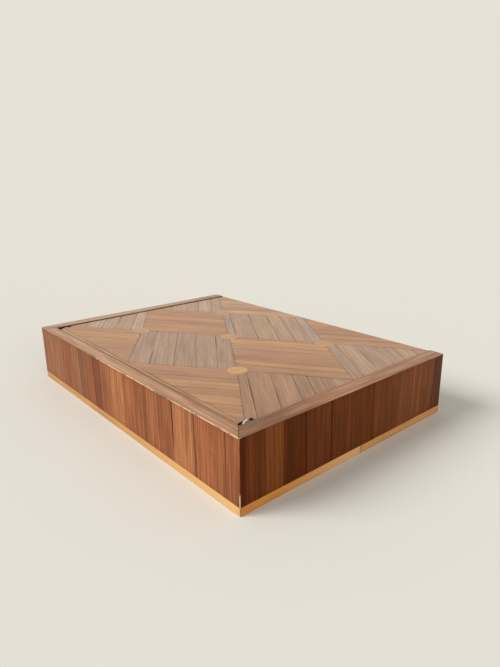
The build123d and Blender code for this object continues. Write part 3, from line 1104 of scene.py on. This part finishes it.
def metal_finish(name, colour, worn, dullness):
    """Brushed metal, tarnished, duller at the right end, and dark where the leaf meets the wall: painted
    shade with some dirt.
    """
    brush_depth = 0.00001
    material, start = new_finish(name)
    place, (x, _, z) = axes_of(start)
    brushed = drawn_noise(place, (900.0, 9000.0, 2500.0), 2.0)
    tarnish = drawn_noise(place, (700.0, 700.0, 700.0), 3.0)
    duller = rise(x, 0.0, 0.05) * 0.25
    metal = blend(rise(tarnish + duller, 0.35, 0.75), colour, worn)
    # Painted shade, with some dirt, on the leaf where it meets the wall and the lid.
    packed_dirt_and_shade = rise(abs(x), 0.0761, 0.0768) * fall(abs(x), 0.0776, 0.0779) * rise(z, 0.0262, 0.0270) * 0.85
    metal = blend(packed_dirt_and_shade, metal, hinge_dirt_and_shade)
    roughness = dullness + tarnish * 0.25 + brushed * 0.1 + packed_dirt_and_shade * 0.3
    surface(start, metal, roughness, brushed, brush_depth, {"Metallic": 1.0})
    return material


nickel = metal_finish("hinge_nickel", (0.86, 0.83, 0.78, 1.0), (0.56, 0.51, 0.44, 1.0), dullness=0.15)
steel = metal_finish("hinge_steel", (0.62, 0.62, 0.62, 1.0), (0.45, 0.43, 0.40, 1.0), dullness=0.2)
brass = metal_finish("washer_brass", (0.80, 0.58, 0.24, 1.0), (0.55, 0.38, 0.16, 1.0), dullness=0.25)
for node in ("left_wall_leaf", "right_wall_leaf", "left_lid_leaf", "right_lid_leaf"):
    dress(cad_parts[node], nickel)
for node in ("left_pivot_pin", "right_pivot_pin", "wall_leaf_screws", "lid_leaf_screws"):
    dress(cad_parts[node], steel)
dress(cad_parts["pivot_washers"], brass)


# Studio
# A plain pale floor and backdrop, one large soft lamp on the hinge wall, a weaker one on the left end, and
# even light all round. The floor sends up brown light, as a wooden table would.

backdrop = (0.785, 0.753, 0.669, 1.0)
floor_pale = (0.79, 0.765, 0.69, 1.0)
table_brown = (0.36, 0.22, 0.12, 1.0)
soft_white = (1.0, 0.98, 0.95, 1.0)
floor_reach = 40.0
floor_level = -0.0001


def looked_at(start):
    """1 where the camera looks, straight or by a reflection, and 0 for light that goes on to the part."""
    camera_ray = start.node("LightPath", {}, {}, "Is Camera Ray")
    rays = camera_ray.socket.node.outputs
    glossy_ray = Value(start.tree, rays["Is Glossy Ray"])
    clear_ray = Value(start.tree, rays["Is Transmission Ray"])
    return camera_ray + glossy_ray + clear_ray


floor_corners = [(-floor_reach, -floor_reach, 0), (floor_reach, -floor_reach, 0),
                 (floor_reach, floor_reach, 0), (-floor_reach, floor_reach, 0)]
floor_mesh = bpy.data.meshes.new("floor")
floor_mesh.from_pydata(floor_corners, [], [(0, 1, 2, 3)])
floor = bpy.data.objects.new("floor", floor_mesh)
floor.location.z = floor_level
bpy.context.scene.collection.objects.link(floor)
paper, start = new_finish("floor_paper")
pale = start.node("BsdfDiffuse", {}, {"Color": floor_pale})
dim = start.node("BsdfDiffuse", {}, {"Color": table_brown})
mixed = start.node("MixShader", {}, {0: looked_at(start), 1: dim, 2: pale})
start.node("OutputMaterial", {}, {"Surface": mixed})
dress(floor, paper)
floor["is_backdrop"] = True

world = bpy.data.worlds.new("studio")
world.use_nodes = True
world.node_tree.nodes.clear()
start = Value(world.node_tree)
shown = start.node("Background", {}, {"Color": backdrop, "Strength": 1.0})
lit = start.node("Background", {}, {"Color": soft_white, "Strength": 0.48})
mixed = start.node("MixShader", {}, {0: looked_at(start), 1: lit, 2: shown})
start.node("OutputWorld", {}, {"Surface": mixed})
bpy.context.scene.world = world


def hang_lamp(name, strength, spread, direction):
    """A soft lamp far away in some direction, its spread in degrees."""
    lamp = bpy.data.objects.new(name, bpy.data.lights.new(name, "SUN"))
    lamp.data.energy = strength
    lamp.data.angle = math.radians(spread)
    lamp.rotation_euler = Vector(direction).to_track_quat("Z", "Y").to_euler()
    bpy.context.scene.collection.objects.link(lamp)


hang_lamp("window", strength=2.45, spread=32, direction=(0.40, 0.70, 0.59))
hang_lamp("fill", strength=0.65, spread=30, direction=(-0.966, 0.0, 0.259))

camera = bpy.data.objects.new("camera", bpy.data.cameras.new("camera"))
camera.data.sensor_fit = "VERTICAL"
camera.data.sensor_height = 24.0
camera.data.lens = 18.834
camera.data.clip_start = 0.01
eye = Vector((-0.19858, 0.15146, 0.10650))
aim = Vector((0.72918, -0.62024, -0.28914))
tilt = math.radians(-0.673)
facing = aim.to_track_quat("-Z", "Y").to_matrix() @ Matrix.Rotation(tilt, 3, "Z")
camera.matrix_world = Matrix.Translation(eye) @ facing.to_4x4()
bpy.context.scene.collection.objects.link(camera)
bpy.context.scene.camera = camera
bpy.context.scene.view_settings.view_transform = "Standard"
